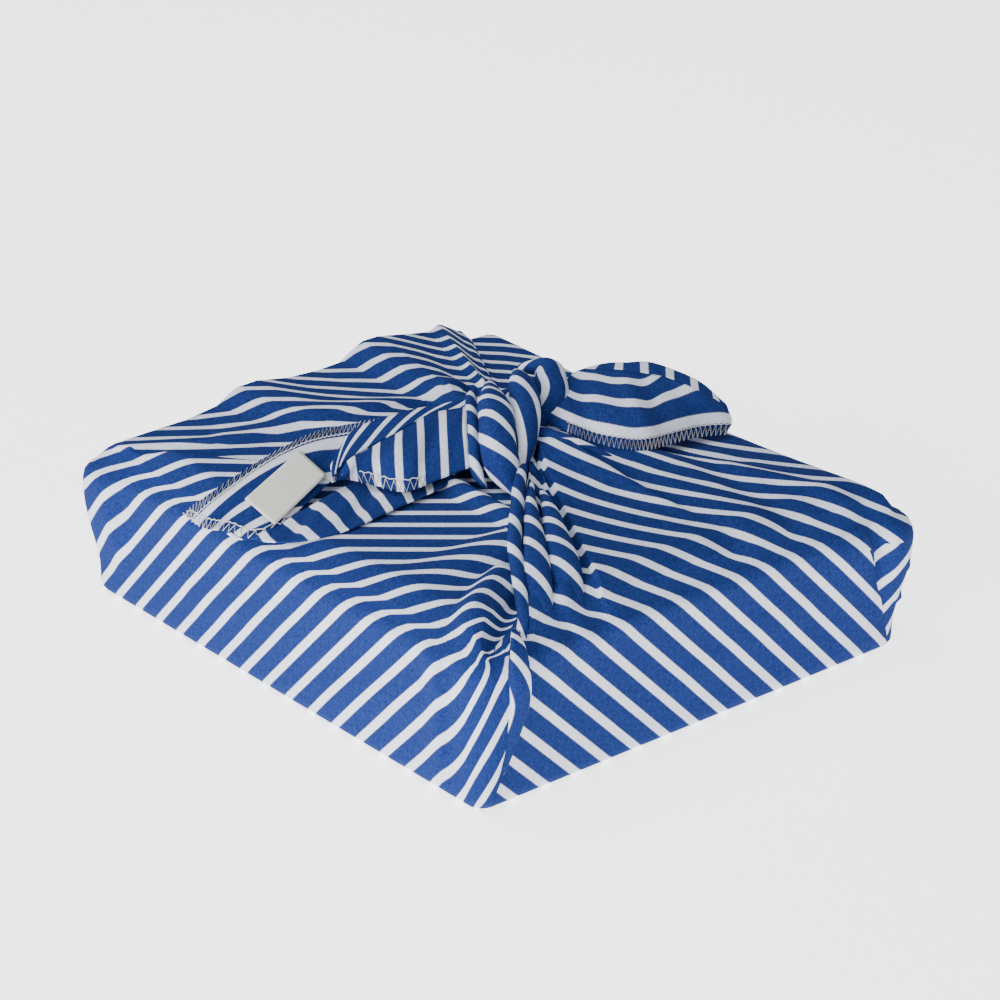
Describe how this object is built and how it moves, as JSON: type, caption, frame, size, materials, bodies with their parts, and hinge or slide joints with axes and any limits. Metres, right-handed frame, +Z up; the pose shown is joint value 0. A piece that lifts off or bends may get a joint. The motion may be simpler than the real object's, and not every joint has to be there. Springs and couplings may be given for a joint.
{
  "type": "furoshiki wrap tied round a flat box",
  "caption": "Striped cotton wrapping cloth folded round a flat box and knotted on top, with loose tails and a blank sewn label.",
  "frame": {"origin": "middle of the wrapped box's outline, on the surface it rests on", "axes": "+Z up; +Y along the box's longer sides; +X along its shorter sides; the label's tail points to -X"},
  "size_m": [0.2201, 0.2414, 0.0881],
  "materials": {
    "cloth": "matt blue chambray with off-white woven stripes",
    "label": "matt cream woven tape",
    "box": "plain matt board"
  },
  "bodies": {
    "root": {"cloth": "cloth", "label": "label", "box": "box"}
  },
  "joints": []
}
